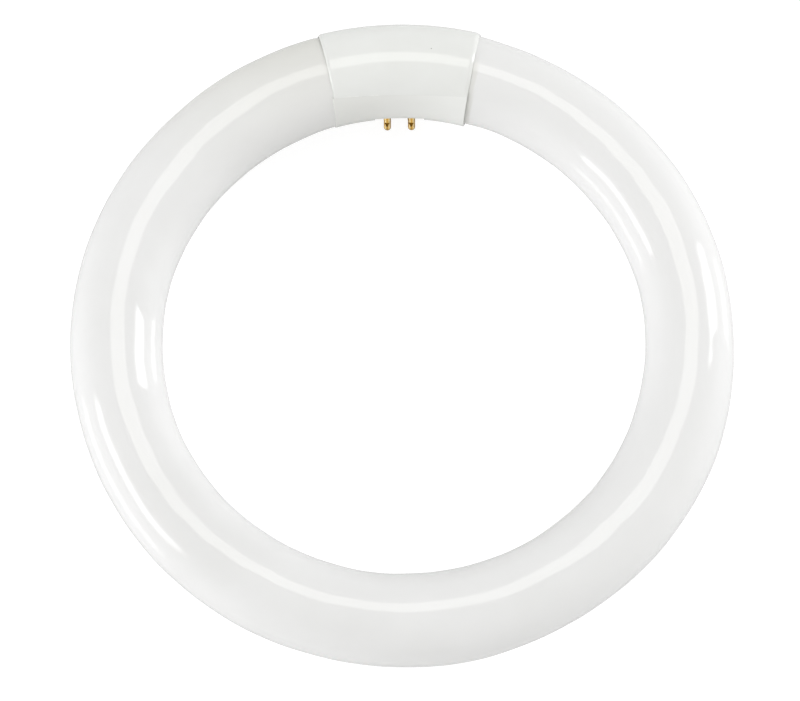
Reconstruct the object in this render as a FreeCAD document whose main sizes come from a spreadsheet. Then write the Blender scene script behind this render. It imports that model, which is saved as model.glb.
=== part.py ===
import FreeCAD, Part
import math
import os
import Sketcher
from FreeCAD import Placement, Rotation, Vector

# Circular fluorescent lamp: a glass ring whose two ends meet in a plastic base with four contact pins.
# The ring's axis is Z and the base lies towards +Y. Z is 0 at the lowest point of the pins, on which the
# lamp rests. Each piece is drawn about the ring's centre or the base's, and its placement lifts it.

# Driving sizes in millimetres and degrees: alias, value, what it measures
SIZES = [
    ("ring_radius", 91.2, "ring axis to the centre line of the glass"),
    ("tube_radius", 14.25, "outside of the glass"),
    ("shoulder_radius", 3.0, "rounding of the sealed glass ends"),
    ("end_gap", 1.0, "glass end to the pin plate, along the ring"),
    ("stem_mouth", 7.5, "radius of the hollow in a glass end, at its mouth"),
    ("stem_floor", 5.0, "radius of the hollow at its floor"),
    ("stem_depth", 10.0, "depth of the hollow"),
    ("exhaust_radius", 2.1, "sealed exhaust tube in the hollow"),
    ("exhaust_setback", 2.0, "glass end back to the exhaust tube's point"),
    ("exhaust_point", 1.5, "length of the exhaust tube's melted point"),
    ("tube_clearance", 0.1, "glass to the sleeve's bore, on the inside of the ring"),
    ("sleeve_shift", 0.3, "sleeve's centre line outside the glass's own"),
    ("sleeve_wall", 0.7, "wall of the two base halves"),
    ("sleeve_length", 48.3, "sleeve along the centre line of the glass"),
    ("sleeve_lean", 12.0, "angle between a sleeve end and the base's middle plane"),
    ("sleeve_rounding", 0.2, "edge rounding at the sleeve's ends"),
    ("split_offset", 1.8, "sleeve's centre to the split between the halves, towards the pins"),
    ("pin_slant", 45.0, "angle of the pins below the ring's plane"),
    ("landing_recess", 2.45, "flat pin landing below the sleeve's round surface"),
    ("landing_length", 16.0, "pin landing along the ring"),
    ("landing_wall", 0.8, "least wall beyond each end of the landing"),
    ("plate_thickness", 2.2, "plate that holds the pins"),
    ("plate_stock", 0.6, "extra thickness that is faced off to make the plate's floor flat"),
    ("floor_margin", 0.4, "flat floor of the plate to the sleeve's bore"),
    ("lip_length", 10.0, "locating lip along the ring"),
    ("lip_height", 3.0, "locating lip above the split"),
    ("lip_wall", 1.0, "thickness of the locating lip"),
    ("lip_clearance", 0.1, "locating lip to the cover's bore"),
    ("pin_spacing", 7.92, "pin to pin along the ring"),
    ("row_spacing", 6.35, "pin row to pin row"),
    ("pin_radius", 1.175, "outside of a pin"),
    ("pin_length", 6.5, "landing to pin tip"),
    ("pin_bore", 0.5, "radius of the hole in a pin"),
    ("pin_tip_wall", 1.3, "pin tip back to the end of its hole"),
    ("shank_radius", 1.4, "pin inside the plate"),
    ("shank_clearance", 0.02, "pin shank to its hole in the plate"),
    ("collar_radius", 1.9, "pin collar on the plate's floor"),
    ("collar_thickness", 0.5, "thickness of that collar"),
    ("crimp_width", 1.3, "crimp mark across a pin"),
    ("crimp_height", 0.8, "crimp mark along a pin"),
    ("crimp_depth", 0.4, "depth of the crimp mark and its seam"),
    ("crimp_setback", 2.7, "pin tip back to the crimp mark"),
    ("seam_width", 0.24, "seam from the crimp mark to the pin tip"),
    ("wire_radius", 0.25, "lead wire"),
    ("wire_bend", 3.0, "bend radius of a lead wire"),
    ("wire_setback", 0.3, "end of a pin's hole back to the lead wire's end"),
    ("cut_margin", 2.0, "how far a cutting outline passes the piece that it cuts"),
]

# Worked-out sizes, as expressions on the sheet
BORE = "(sizes.tube_radius + sizes.sleeve_shift + sizes.tube_clearance)"
SLEEVE = f"({BORE} + sizes.sleeve_wall)"
MID_WALL = f"({BORE} + sizes.sleeve_wall / 2)"
CENTRE = "(sizes.ring_radius + sizes.sleeve_shift)"
CLEAR = f"({SLEEVE} + sizes.cut_margin)"
LANDING = f"({SLEEVE} - sizes.landing_recess)"
LANDING_HALF = "(sizes.landing_length / 2)"
FLOOR = f"({LANDING} - sizes.plate_thickness)"
PLATE_TOP = f"({FLOOR} - sizes.plate_stock)"
TIP = f"({LANDING} + sizes.pin_length)"
BORE_END = f"({TIP} - sizes.pin_tip_wall)"
LIP_INSIDE = f"({BORE} - sizes.lip_clearance - sizes.lip_wall)"
SINE = "sin(sizes.pin_slant)"
COSINE = "cos(sizes.pin_slant)"
RING_INSIDE = "(sizes.ring_radius - sizes.tube_radius)"
DEGREES = "(180 / pi)"
SLEEVE_ANGLE = f"(sizes.sleeve_length / 2 / sizes.ring_radius * {DEGREES})"
PLATE_ANGLE = f"(atan(({LANDING_HALF} + sizes.landing_wall) / {RING_INSIDE}) / 1 deg)"
GLASS_ANGLE = f"({PLATE_ANGLE} + sizes.end_gap / sizes.ring_radius * {DEGREES})"
LIP_ANGLE = f"(sizes.lip_length / 2 / sizes.ring_radius * {DEGREES})"
LOWEST = f"(({TIP} - sizes.pin_radius) * {SINE} + sizes.row_spacing / 2 * {COSINE} + sizes.pin_radius)"

doc = FreeCAD.newDocument("circular_lamp")
sheet = doc.addObject("Spreadsheet::Sheet", "sizes")
for row, (alias, value, meaning) in enumerate(SIZES, start=1):
    sheet.set(f"A{row}", str(value))
    sheet.setAlias(f"A{row}", alias)
    sheet.set(f"B{row}", meaning)
doc.recompute()

nodes = []


def amount(expression):
    """The present value of an expression on the sheet."""
    found = sheet.evalExpression(expression)
    return float(getattr(found, "Value", found))


def new_piece(name, placement):
    """A body that is exported as one node, with its placement bound to the sheet."""
    body = doc.addObject("PartDesign::Body", name)
    body.Label = name
    body.setExpression("Placement", placement)
    nodes.append(body)
    return body


def origin_plane(body, role):
    """One of the body's own three origin planes."""
    return next(feature for feature in body.Origin.OriginFeatures if feature.Role == role)


def sketch_on(body, name, role):
    """A sketch on one of the body's own origin planes."""
    sketch = body.newObject("Sketcher::SketchObject", name)
    sketch.AttachmentSupport = [(origin_plane(body, role), "")]
    sketch.MapMode = "FlatFace"
    return sketch


def shift_sketch(sketch, axis, angle, base):
    """Turns and moves a sketch from its plane, by an angle and a base that are bound to the sheet."""
    sketch.AttachmentOffset = Placement(Vector(), Rotation(axis, amount(angle)))
    sketch.setExpression("AttachmentOffset.Rotation.Angle", angle)
    for letter, place in base.items():
        sketch.setExpression(f"AttachmentOffset.Base.{letter}", place)


def sketch_across_pins(body, name, depth):
    """A sketch square to the pins, at a depth from the sleeve's centre: x along the ring, y up the rows."""
    sketch = sketch_on(body, name, "XY_Plane")
    base = {"y": f"{CENTRE} - {depth} * {COSINE}", "z": f"-{depth} * {SINE}"}
    shift_sketch(sketch, Vector(1, 0, 0), "90 + sizes.pin_slant", base)
    return sketch


def hold(sketch, kind, element, point, expression):
    """Binds one coordinate of a sketch point, measured from the sketch's origin."""
    value = amount(expression)
    if abs(value) < 1e-9:
        axis = -2 if kind == "DistanceX" else -1
        sketch.addConstraint(Sketcher.Constraint("PointOnObject", element, point, axis))
        return
    ends = (-1, 1, element, point) if value > 0 else (element, point, -1, 1)
    index = sketch.addConstraint(Sketcher.Constraint(kind, *ends, abs(value)))
    sketch.setExpression(f"Constraints[{index}]", expression if value > 0 else f"-({expression})")


def hold_point(sketch, element, point, place):
    """Binds both coordinates of a sketch point."""
    hold(sketch, "DistanceX", element, point, place[0])
    hold(sketch, "DistanceY", element, point, place[1])


def bind_radius(sketch, element, radius):
    """Binds the radius of a circle or an arc."""
    index = sketch.addConstraint(Sketcher.Constraint("Radius", element, amount(radius)))
    sketch.setExpression(f"Constraints[{index}]", radius)


def draw_circle(sketch, place, radius):
    """A circle whose centre and radius are bound to the sheet."""
    centre = Vector(amount(place[0]), amount(place[1]), 0)
    element = sketch.addGeometry(Part.Circle(centre, Vector(0, 0, 1), amount(radius)))
    hold_point(sketch, element, 3, place)
    bind_radius(sketch, element, radius)


def draw_run(sketch, start, end, arc):
    """A line or a short arc from start to end. Returns the run's ends as element and point numbers."""
    if not arc:
        element = sketch.addGeometry(Part.LineSegment(start, end))
        return (element, 1), (element, 2)
    centre = Vector(amount(arc["centre"][0]), amount(arc["centre"][1]), 0)
    clockwise = (start - centre).cross(end - centre).z < 0
    first, last = [math.atan2(p.y - centre.y, p.x - centre.x) for p in (start, end)]
    if clockwise:
        first, last = last, first
    circle = Part.Circle(centre, Vector(0, 0, 1), amount(arc["radius"]))
    element = sketch.addGeometry(Part.ArcOfCircle(circle, first, last))
    bind_radius(sketch, element, arc["radius"])
    return ((element, 2), (element, 1)) if clockwise else ((element, 1), (element, 2))


def draw_path(sketch, corners, arcs):
    """Runs from corner to corner, each corner bound to the sheet. arcs maps a run's number to its arc."""
    points = [Vector(amount(x), amount(y), 0) for x, y in corners]
    runs = [draw_run(sketch, points[i], points[i + 1], arcs.get(i)) for i in range(len(points) - 1)]
    for before, after in zip(runs, runs[1:]):
        sketch.addConstraint(Sketcher.Constraint("Coincident", *before[1], *after[0]))
    for run, place in zip(runs, corners):
        hold_point(sketch, *run[0], place)
    return runs


def draw_outline(sketch, corners, arcs=None):
    """A closed outline whose corners are bound to the sheet."""
    runs = draw_path(sketch, corners + corners[:1], arcs or {})
    sketch.addConstraint(Sketcher.Constraint("Coincident", *runs[-1][1], *runs[0][0]))


def draw_rectangle(sketch, half_x, half_y):
    """A rectangle about the sketch's origin."""
    draw_outline(sketch, [
        (f"-{half_x}", f"-{half_y}"),
        (half_x, f"-{half_y}"),
        (half_x, half_y),
        (f"-{half_x}", half_y),
    ])


def turn(body, kind, name, sketch, axis, angle):
    """A Revolution or Groove, by equal angles to both sides of its sketch."""
    feature = body.newObject(f"PartDesign::{kind}", name)
    feature.Profile = sketch
    feature.ReferenceAxis = (sketch, [axis])
    feature.Midplane = True
    feature.setExpression("Angle", angle)
    return feature


def cut_through(body, name, sketch, side):
    """A Pocket through all that lies in front of the sketch, behind it, or on both sides of it."""
    feature = body.newObject("PartDesign::Pocket", name)
    feature.Profile = sketch
    feature.Type = "ThroughAll"
    feature.SideType = "Symmetric" if side == "both" else "One side"
    feature.Reversed = side == "front"
    return feature


def round_edges(body, name, base, radius, chosen):
    """A Fillet on those edges of the base feature that the chosen function accepts."""
    doc.recompute()
    edges = [f"Edge{number}" for number, edge in enumerate(base.Shape.Edges, start=1) if chosen(edge)]
    if not edges:
        raise RuntimeError(f"{name} found no edge to round")
    feature = body.newObject("PartDesign::Fillet", name)
    feature.Base = (base, edges)
    feature.setExpression("Radius", radius)
    return feature


def in_plane(edge, through, lean):
    """True where an edge lies in either of two mirrored upright planes, each leaning from the YZ plane."""
    across = Vector(math.cos(lean), -math.sin(lean), 0)
    right_hand = [Vector(abs(p.x), p.y, p.z) for p in edge.discretize(Number=5)]
    return all(p.y > 0 and abs((p - through).dot(across)) < 1e-4 for p in right_hand)


RING_PLACEMENT = f"placement(vector(0; 0; {LOWEST}); rotation(vector(0; 0; 1); 0))"
PIN_PLACEMENT = f"placement(vector(0; {CENTRE}; {LOWEST}); rotation(vector(1; 0; 0); 90 + sizes.pin_slant))"

# Glass ring: one sealed piece, its ends melted round over a hollow stem with the exhaust tube in it
glass = new_piece("glass_tube", RING_PLACEMENT)
glass_section = sketch_on(glass, "glass_section", "YZ_Plane")
draw_circle(glass_section, ("-sizes.ring_radius", "0"), "sizes.tube_radius")
ring = turn(glass, "Revolution", "glass_ring", glass_section, "V_Axis", f"360 - 2 * {GLASS_ANGLE}")


def at_glass_end(edge):
    """True on the sharp edge around a glass end."""
    return in_plane(edge, Vector(), math.radians(amount(GLASS_ANGLE)))


round_edges(glass, "glass_shoulders", ring, "sizes.shoulder_radius", at_glass_end)
stem_section = sketch_on(glass, "stem_section", "XY_Plane")
glass_end = {"x": f"sizes.ring_radius * sin({GLASS_ANGLE})", "y": f"sizes.ring_radius * cos({GLASS_ANGLE})"}
shift_sketch(stem_section, Vector(0, 0, 1), f"180 - {GLASS_ANGLE}", glass_end)
draw_outline(stem_section, [
    ("sizes.cut_margin", "0"),
    ("sizes.cut_margin", "sizes.stem_mouth"),
    ("0", "sizes.stem_mouth"),
    ("-sizes.stem_depth", "sizes.stem_floor"),
    ("-sizes.stem_depth", "sizes.exhaust_radius"),
    ("-(sizes.exhaust_setback + sizes.exhaust_point)", "sizes.exhaust_radius"),
    ("-sizes.exhaust_setback", "0"),
])
stem = turn(glass, "Groove", "stem_hollow", stem_section, "H_Axis", "360")
other_stem = glass.newObject("PartDesign::Mirrored", "other_stem_hollow")
other_stem.Originals = [stem]
other_stem.MirrorPlane = (origin_plane(glass, "YZ_Plane"), [""])
glass.Tip = other_stem


def section_place(depth, rise):
    """A point of the base's middle section, by its depth along the pins and its rise up the pin rows."""
    return (f"{CENTRE} - {depth} * {COSINE} - {rise} * {SINE}", f"{rise} * {COSINE} - {depth} * {SINE}")


def sleeve_band(body, name, inside, outside, angle):
    """A curved band about the sleeve's centre line, between two radii."""
    sketch = sketch_on(body, f"{name}_section", "YZ_Plane")
    draw_circle(sketch, (CENTRE, "0"), outside)
    draw_circle(sketch, (CENTRE, "0"), inside)
    return turn(body, "Revolution", name, sketch, "V_Axis", f"2 * {angle}")


def trim_sleeve_ends(body):
    """Cuts both ends of a base half along the leaning end planes."""
    sketch = sketch_on(body, "end_trim_outline", "XY_Plane")
    near = f"({CENTRE} / 2)"
    far = f"({CENTRE} + {CLEAR})"
    end_y = f"sizes.ring_radius * cos({SLEEVE_ANGLE})"
    end_x = f"sizes.ring_radius * sin({SLEEVE_ANGLE})"
    near_x = f"({end_x} + ({near} - {end_y}) * tan(sizes.sleeve_lean))"
    far_x = f"({end_x} + ({far} - {end_y}) * tan(sizes.sleeve_lean))"
    for sign in ("", "-"):
        draw_outline(sketch, [
            (f"{sign}{near_x}", near),
            (f"{sign}{far}", near),
            (f"{sign}{far}", far),
            (f"{sign}{far_x}", far),
        ])
    return cut_through(body, "end_trim", sketch, "both")


def cut_at_depth(body, name, depth, half_x, half_y, side):
    """Removes a block from a base half, down to a flat face square to the pins."""
    sketch = sketch_across_pins(body, f"{name}_outline", depth)
    draw_rectangle(sketch, half_x, half_y)
    return cut_through(body, name, sketch, side)


def round_sleeve_ends(body, base):
    """Rounds the outer edges at the two open ends of a base half."""
    angle = math.radians(amount(SLEEVE_ANGLE))
    through = Vector(math.sin(angle), math.cos(angle), 0) * amount("sizes.ring_radius")
    lean = math.radians(amount("sizes.sleeve_lean"))

    def at_outer_end(edge):
        offsets = [math.hypot(math.hypot(p.x, p.y) - amount(CENTRE), p.z) for p in edge.discretize(Number=5)]
        return in_plane(edge, through, lean) and all(abs(o - amount(SLEEVE)) < 1e-4 for o in offsets)

    return round_edges(body, "end_rounding", base, "sizes.sleeve_rounding", at_outer_end)


ROUGH_ANGLE = f"(sizes.sleeve_length / {CENTRE} * {DEGREES})"
WIDE = "sizes.sleeve_length"

# Cover half of the base: the outer and upper part of the sleeve, down to the split
cover = new_piece("base_cover", RING_PLACEMENT)
sleeve_band(cover, "cover_band", BORE, SLEEVE, ROUGH_ANGLE)
trim_sleeve_ends(cover)
cover_split = cut_at_depth(cover, "cover_split", "sizes.split_offset", WIDE, WIDE, "front")
round_sleeve_ends(cover, cover_split)

# Pin half of the base: the rest of the sleeve, the plate that holds the pins and a lip that guides the cover
carrier = new_piece("base_pin_half", RING_PLACEMENT)
sleeve_band(carrier, "carrier_band", BORE, SLEEVE, ROUGH_ANGLE)
trim_sleeve_ends(carrier)
plate_section = sketch_on(carrier, "plate_section", "YZ_Plane")
PLATE_HALF = f"sqrt({MID_WALL} ^ 2 - {PLATE_TOP} ^ 2)"
plate_arc = {"centre": (CENTRE, "0"), "radius": MID_WALL}
draw_outline(
    plate_section,
    [section_place(PLATE_TOP, PLATE_HALF), section_place(PLATE_TOP, f"(-{PLATE_HALF})")],
    {1: plate_arc},
)
turn(carrier, "Revolution", "plate", plate_section, "V_Axis", f"2 * {PLATE_ANGLE}")
FLOOR_HALF = f"(sqrt({BORE} ^ 2 - {FLOOR} ^ 2) - sizes.floor_margin)"
cut_at_depth(carrier, "plate_floor", FLOOR, "sizes.landing_length", FLOOR_HALF, "back")
sleeve_band(carrier, "lip_root", LIP_INSIDE, MID_WALL, LIP_ANGLE)
cut_at_depth(carrier, "carrier_split", "sizes.split_offset", WIDE, WIDE, "back")
sleeve_band(carrier, "lip", LIP_INSIDE, f"({BORE} - sizes.lip_clearance)", LIP_ANGLE)
LIP_TOP = "(sizes.split_offset - sizes.lip_height)"
cut_at_depth(carrier, "lip_top", LIP_TOP, WIDE, WIDE, "back")
cut_at_depth(carrier, "landing", LANDING, LANDING_HALF, SLEEVE, "front")
hole_sketch = sketch_across_pins(carrier, "pin_hole_outline", "0")
for side in ("", "-"):
    for row in ("", "-"):
        place = (f"{side}sizes.pin_spacing / 2", f"{row}sizes.row_spacing / 2")
        draw_circle(hole_sketch, place, "(sizes.shank_radius + sizes.shank_clearance)")
pin_holes = cut_through(carrier, "pin_holes", hole_sketch, "front")
round_sleeve_ends(carrier, pin_holes)


def make_pin(name, side, row):
    """A hollow brass pin along its own Z axis: collar on the plate, crimp mark and seam near the tip."""
    place = f"vector({side}sizes.pin_spacing / 2; {row}sizes.row_spacing / 2; 0)"
    pin = new_piece(name, f"{PIN_PLACEMENT} * placement({place}; rotation(vector(0; 0; 1); 0))")
    section = sketch_on(pin, f"{name}_section", "XZ_Plane")
    tip_arc = {"centre": ("0", f"{TIP} - sizes.pin_radius"), "radius": "sizes.pin_radius"}
    collar_top = f"({FLOOR} - sizes.collar_thickness)"
    draw_outline(section, [
        ("sizes.pin_bore", collar_top),
        ("sizes.collar_radius", collar_top),
        ("sizes.collar_radius", FLOOR),
        ("sizes.shank_radius", FLOOR),
        ("sizes.shank_radius", LANDING),
        ("sizes.pin_radius", LANDING),
        ("sizes.pin_radius", f"{TIP} - sizes.pin_radius"),
        ("0", TIP),
        ("0", BORE_END),
        ("sizes.pin_bore", BORE_END),
    ], {6: tip_arc})
    turn(pin, "Revolution", f"{name}_body", section, "V_Axis", "360")
    mark = sketch_on(pin, f"{name}_crimp_outline", "XZ_Plane")
    mark.setExpression("AttachmentOffset.Base.z", "sizes.crimp_depth - sizes.pin_radius")
    mark_top = f"({TIP} - sizes.crimp_setback)"
    mark_point = f"({mark_top} + sizes.crimp_height)"
    past_tip = f"({TIP} + sizes.cut_margin)"
    draw_outline(mark, [
        ("-sizes.crimp_width / 2", mark_top),
        ("sizes.crimp_width / 2", mark_top),
        ("sizes.seam_width / 2", mark_point),
        ("sizes.seam_width / 2", past_tip),
        ("-sizes.seam_width / 2", past_tip),
        ("-sizes.seam_width / 2", mark_point),
    ])
    cut_through(pin, f"{name}_crimp", mark, "back")


def make_wire(name, side, row):
    """A lead wire: out of the stem along the end of the glass, round one bend and down into its pin."""
    heading = f"(atan(tan({GLASS_ANGLE}) * {SINE}) / 1 deg)"
    if side:
        heading = f"(180 - {heading})"
    place = f"vector({side}sizes.pin_spacing / 2; {row}sizes.row_spacing / 2; 0)"
    wire = new_piece(name, f"{PIN_PLACEMENT} * placement({place}; rotation(vector(0; 0; 1); {heading}))")
    slope = f"(asin(sin({GLASS_ANGLE}) * {COSINE}) / 1 deg)"
    corner_radius = f"({CENTRE} - {row}sizes.row_spacing / 2 * {SINE})"
    reach = (f"(sizes.stem_depth - sizes.pin_spacing / 2 * cos({GLASS_ANGLE})"
             f" + {corner_radius} * sin({GLASS_ANGLE}))")
    tangent = f"(sizes.wire_bend * tan(45 + {slope} / 2))"
    route = sketch_on(wire, f"{name}_route", "XZ_Plane")
    bend = {"centre": ("sizes.wire_bend", tangent), "radius": "sizes.wire_bend"}
    corners = [
        (f"{reach} * cos({slope})", f"{reach} * sin({slope})"),
        (f"{tangent} * cos({slope})", f"{tangent} * sin({slope})"),
        ("0", tangent),
        ("0", f"{BORE_END} - sizes.wire_setback"),
    ]
    runs = draw_path(route, corners, {1: bend})
    hold_point(route, *runs[-1][1], corners[-1])
    section = sketch_on(wire, f"{name}_section", "XY_Plane")
    section.setExpression("AttachmentOffset.Base.z", corners[-1][1])
    draw_circle(section, ("0", "0"), "sizes.wire_radius")
    pipe = wire.newObject("PartDesign::AdditivePipe", f"{name}_body")
    pipe.Profile = section
    pipe.Spine = (route, ["Edge1", "Edge2", "Edge3"])


for side_name, side in (("right", ""), ("left", "-")):
    for row_name, row in (("upper", ""), ("lower", "-")):
        make_pin(f"contact_pin_{side_name}_{row_name}", side, row)
        make_wire(f"lead_wire_{side_name}_{row_name}", side, row)

doc.recompute()
for item in doc.Objects:
    if {"Invalid", "Error"} & set(item.State):
        raise RuntimeError(f"{item.Label} failed: {item.getStatusString()}")
for node in nodes:
    if node.Shape.isNull() or not node.Shape.isValid():
        raise RuntimeError(f"{node.Label} has no valid shape")

os.makedirs("parts", exist_ok=True)
for node in nodes:
    node.Shape.exportStep(f"parts/{node.Label}.step")
    print(f"{node.Label}: {len(node.Shape.Solids)} solid, {node.Shape.Volume:.2f} cubic millimetres")
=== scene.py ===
# %% [markdown]
# # A circular fluorescent lamp
#
# The lamp is a ring of coated glass tube whose two ends meet in a white plastic base with four brass pins.
# Its solids come from the CAD frame, already at their real size and place, so nothing is scaled or moved.
# Blender adds what solids lack: the uneven drawn glass, rounded mouldings, pressed pins and the finishes.
# The script notes the frame's box first, because the dressed lamp has to keep to it.

# %% Load the frame
import math
import bpy
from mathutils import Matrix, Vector


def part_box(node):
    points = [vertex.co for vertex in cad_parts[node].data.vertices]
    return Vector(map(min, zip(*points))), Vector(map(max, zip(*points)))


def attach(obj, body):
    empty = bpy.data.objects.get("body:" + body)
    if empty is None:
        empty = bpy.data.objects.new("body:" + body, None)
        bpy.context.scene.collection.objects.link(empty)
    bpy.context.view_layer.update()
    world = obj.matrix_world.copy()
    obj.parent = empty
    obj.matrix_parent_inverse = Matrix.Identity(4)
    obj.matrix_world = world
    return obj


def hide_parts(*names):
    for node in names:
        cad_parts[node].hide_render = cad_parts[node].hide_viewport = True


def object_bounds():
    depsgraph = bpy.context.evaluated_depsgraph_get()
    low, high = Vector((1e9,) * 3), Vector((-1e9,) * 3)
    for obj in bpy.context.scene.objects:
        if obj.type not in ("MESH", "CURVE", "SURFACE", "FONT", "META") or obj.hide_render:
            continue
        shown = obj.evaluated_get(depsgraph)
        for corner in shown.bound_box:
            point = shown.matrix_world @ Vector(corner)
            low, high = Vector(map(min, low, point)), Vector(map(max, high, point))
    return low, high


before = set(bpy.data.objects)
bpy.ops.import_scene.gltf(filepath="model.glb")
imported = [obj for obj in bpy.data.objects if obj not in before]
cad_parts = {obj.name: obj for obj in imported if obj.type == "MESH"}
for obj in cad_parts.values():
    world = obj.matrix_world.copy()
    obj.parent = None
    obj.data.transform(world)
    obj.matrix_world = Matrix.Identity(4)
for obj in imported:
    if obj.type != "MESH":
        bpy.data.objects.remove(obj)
cad_low, cad_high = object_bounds()
MM = 0.001
print("nodes:", ", ".join(sorted(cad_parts)))

# %% [markdown]
# ## Reading sizes off the frame
#
# A maker would measure the finished mouldings before fitting anything to them, and the same is done here.
# The glass node's box gives the tube's radius, the ring's radius and the height of its middle plane.
# The cover's box gives the plastic sleeve, whose centre line lies a little outside the glass's own.
# Reading them keeps the looks in step with the solids when a size changes there.

# %% Measure the glass and the sleeve
glass_low, glass_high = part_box("glass_tube")
cover_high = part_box("base_cover")[1]
TUBE = (glass_high.z - glass_low.z) / 2
RING = (glass_high.x - glass_low.x) / 2 - TUBE
MIDDLE = (glass_high.z + glass_low.z) / 2
SLEEVE = cover_high.z - MIDDLE
SLEEVE_RING = cover_high.y - SLEEVE
print(f"ring {RING / MM:.2f}, tube {TUBE / MM:.2f}, sleeve {SLEEVE / MM:.2f} on {SLEEVE_RING / MM:.2f} mm")

# %% [markdown]
# ## Skins made of loops
#
# Glass tube, moulded sleeve and turned pin are all made by moving a section along a line.
# One helper is enough for the three: it takes rows of points, each a closed loop, and joins them with quads.
# Writing points and faces straight into a mesh keeps control of how the faces run, which gloss shows at once.
# Each finished piece rides on the lamp's one body and stands for the CAD node that it covers.

# %% Helpers for meshes
def ring_point(angle, radius, height):
    """A point at an angle round the ring, clockwise from the middle of the base as seen from above."""
    return Vector((radius * math.sin(angle), radius * math.cos(angle), MIDDLE + height))


def ease(value):
    """0 below 0, 1 above 1, and a smooth step between."""
    value = min(1.0, max(0.0, value))
    return value * value * (3 - 2 * value)


def skin_faces(rows, count):
    """Quads between neighbouring loops, where each of the rows holds count points."""
    faces = []
    for row in range(rows - 1):
        here = row * count
        there = here + count
        for i in range(count):
            j = (i + 1) % count
            faces.append((here + i, here + j, there + j, there + i))
    return faces


def closed_skin(loops):
    """Points and faces of a skin whose first and last loops are filled."""
    count = len(loops[0])
    points = [p for loop in loops for p in loop]
    faces = skin_faces(len(loops), count)
    faces.append(tuple(reversed(range(count))))
    faces.append(tuple(range(len(points) - count, len(points))))
    return points, faces


def new_piece(name, points, faces, node, slot):
    """A smooth mesh that rides on the lamp and stands for a CAD node. The slot argument is not used."""
    mesh = bpy.data.meshes.new(name)
    mesh.from_pydata([tuple(p) for p in points], [], faces)
    mesh.validate()
    mesh.shade_smooth()
    piece = bpy.data.objects.new(name, mesh)
    bpy.context.scene.collection.objects.link(piece)
    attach(piece, "root")
    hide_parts(node)
    print(f"{name}: {len(mesh.vertices)} points, {len(mesh.polygons)} faces")
    return piece


def paint_points(piece, name, values):
    """Stores one number for each point, which a material can read."""
    attribute = piece.data.attributes.new(name, "FLOAT", "POINT")
    attribute.data.foreach_set("value", values)


# %% [markdown]
# ## The glass ring
#
# The real ring is a straight tube that was coated inside, softened in a furnace and wound round a drum.
# It is never perfect: it is thicker at its left end, wanders off its circle, and its skin is rippled.
# A plain torus with a bump map would show ripples, but its outline would stay two perfect circles.
# So the tube is drawn again, loop by loop, from a short table of how far it departs from the solid.
# At the mouths it eases back to the solid's own size, which it keeps in the base, so that the sleeve fits.

# %% How the glass departs from a perfect ring
GLASS_END = math.radians(7.15)    # middle of the base to a glass end
MOUTH = math.radians(15.2)        # middle of the base to the mouth of its sleeve
AROUND_TUBE = 112

# Degrees inside and outside a mouth, between which the glass turns plain
RIGHT_FADE = (4.5, 0.0)
LEFT_FADE = (2.0, 0.5)

# Degrees from the middle of the base, then extra tube radius and extra ring radius in millimetres
DEPARTURES = (
    (14, 0.18, 0.30),
    (20, -0.12, 0.20),
    (32, -0.22, 0.08),
    (55, -0.08, 0.00),
    (75, -0.27, 0.12),
    (95, -0.20, -0.05),
    (112, 0.16, 0.22),
    (130, 0.05, 0.22),
    (150, -0.03, 0.00),
    (170, 0.26, 0.10),
    (195, 0.12, 0.04),
    (220, 0.25, 0.18),
    (240, 0.14, 0.14),
    (265, 0.30, -0.08),
    (280, 0.42, 0.04),
    (297, 0.40, -0.05),
    (315, 0.52, -0.28),
    (330, 0.55, -0.18),
    (345, 0.58, 0.10),
)
TUBE_COLUMN = 1
RING_COLUMN = 2

# Depth, waves round the ring, waves round the tube, phase
RIPPLES = (
    (0.050 * MM, 11, 2, 0.4),
    (0.040 * MM, 19, -3, 1.3),
    (0.022 * MM, 41, 3, 2.6),
)


def table_value(column, degrees):
    """A smooth curve through one column of the departures, in metres."""
    last = len(DEPARTURES) - 1
    k = max(0, sum(row[0] <= degrees for row in DEPARTURES) - 1)
    k = min(k, last - 1)
    before = DEPARTURES[max(k - 1, 0)][column]
    here = DEPARTURES[k][column]
    there = DEPARTURES[k + 1][column]
    after = DEPARTURES[min(k + 2, last)][column]
    span = DEPARTURES[k + 1][0] - DEPARTURES[k][0]
    t = min(1.0, max(0.0, (degrees - DEPARTURES[k][0]) / span))
    line = (there - before) * t
    square = (2 * before - 5 * here + 4 * there - after) * t ** 2
    cube = (3 * here - before - 3 * there + after) * t ** 3
    return (2 * here + line + square + cube) / 2 * MM


def freedom(degrees):
    """0 deep in the sleeve, where the glass is plain, and 1 along the open ring."""
    right = ease((degrees - math.degrees(MOUTH) + RIGHT_FADE[0]) / sum(RIGHT_FADE))
    left = ease((360 - degrees - math.degrees(MOUTH) + LEFT_FADE[0]) / sum(LEFT_FADE))
    return right * left


def glass_loop(angle, inset):
    """One closed loop round the tube, pulled in by an inset from its full radius."""
    degrees = math.degrees(angle)
    free = freedom(degrees)
    extra = table_value(TUBE_COLUMN, degrees) * free
    shift = table_value(RING_COLUMN, degrees) * free
    loop = []
    for step in range(AROUND_TUBE):
        turn = 2 * math.pi * step / AROUND_TUBE
        ripple = sum(d * math.sin(k * angle + m * turn + p) for d, k, m, p in RIPPLES)
        radius = TUBE + extra + ripple * free - inset
        loop.append(ring_point(angle, RING + shift + radius * math.cos(turn), radius * math.sin(turn)))
    return loop


# %% [markdown]
# ## Sealed ends of the glass
#
# Where the tube was sealed, its rim is melted round over a hollow stem, which holds the exhaust tube's stub.
# The base hides all this, yet it closes the mesh and matches the solid, so it is drawn with few loops.
# Each end is a path of (distance in from the end, radius) pairs, from the axis out to the shoulder.

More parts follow.
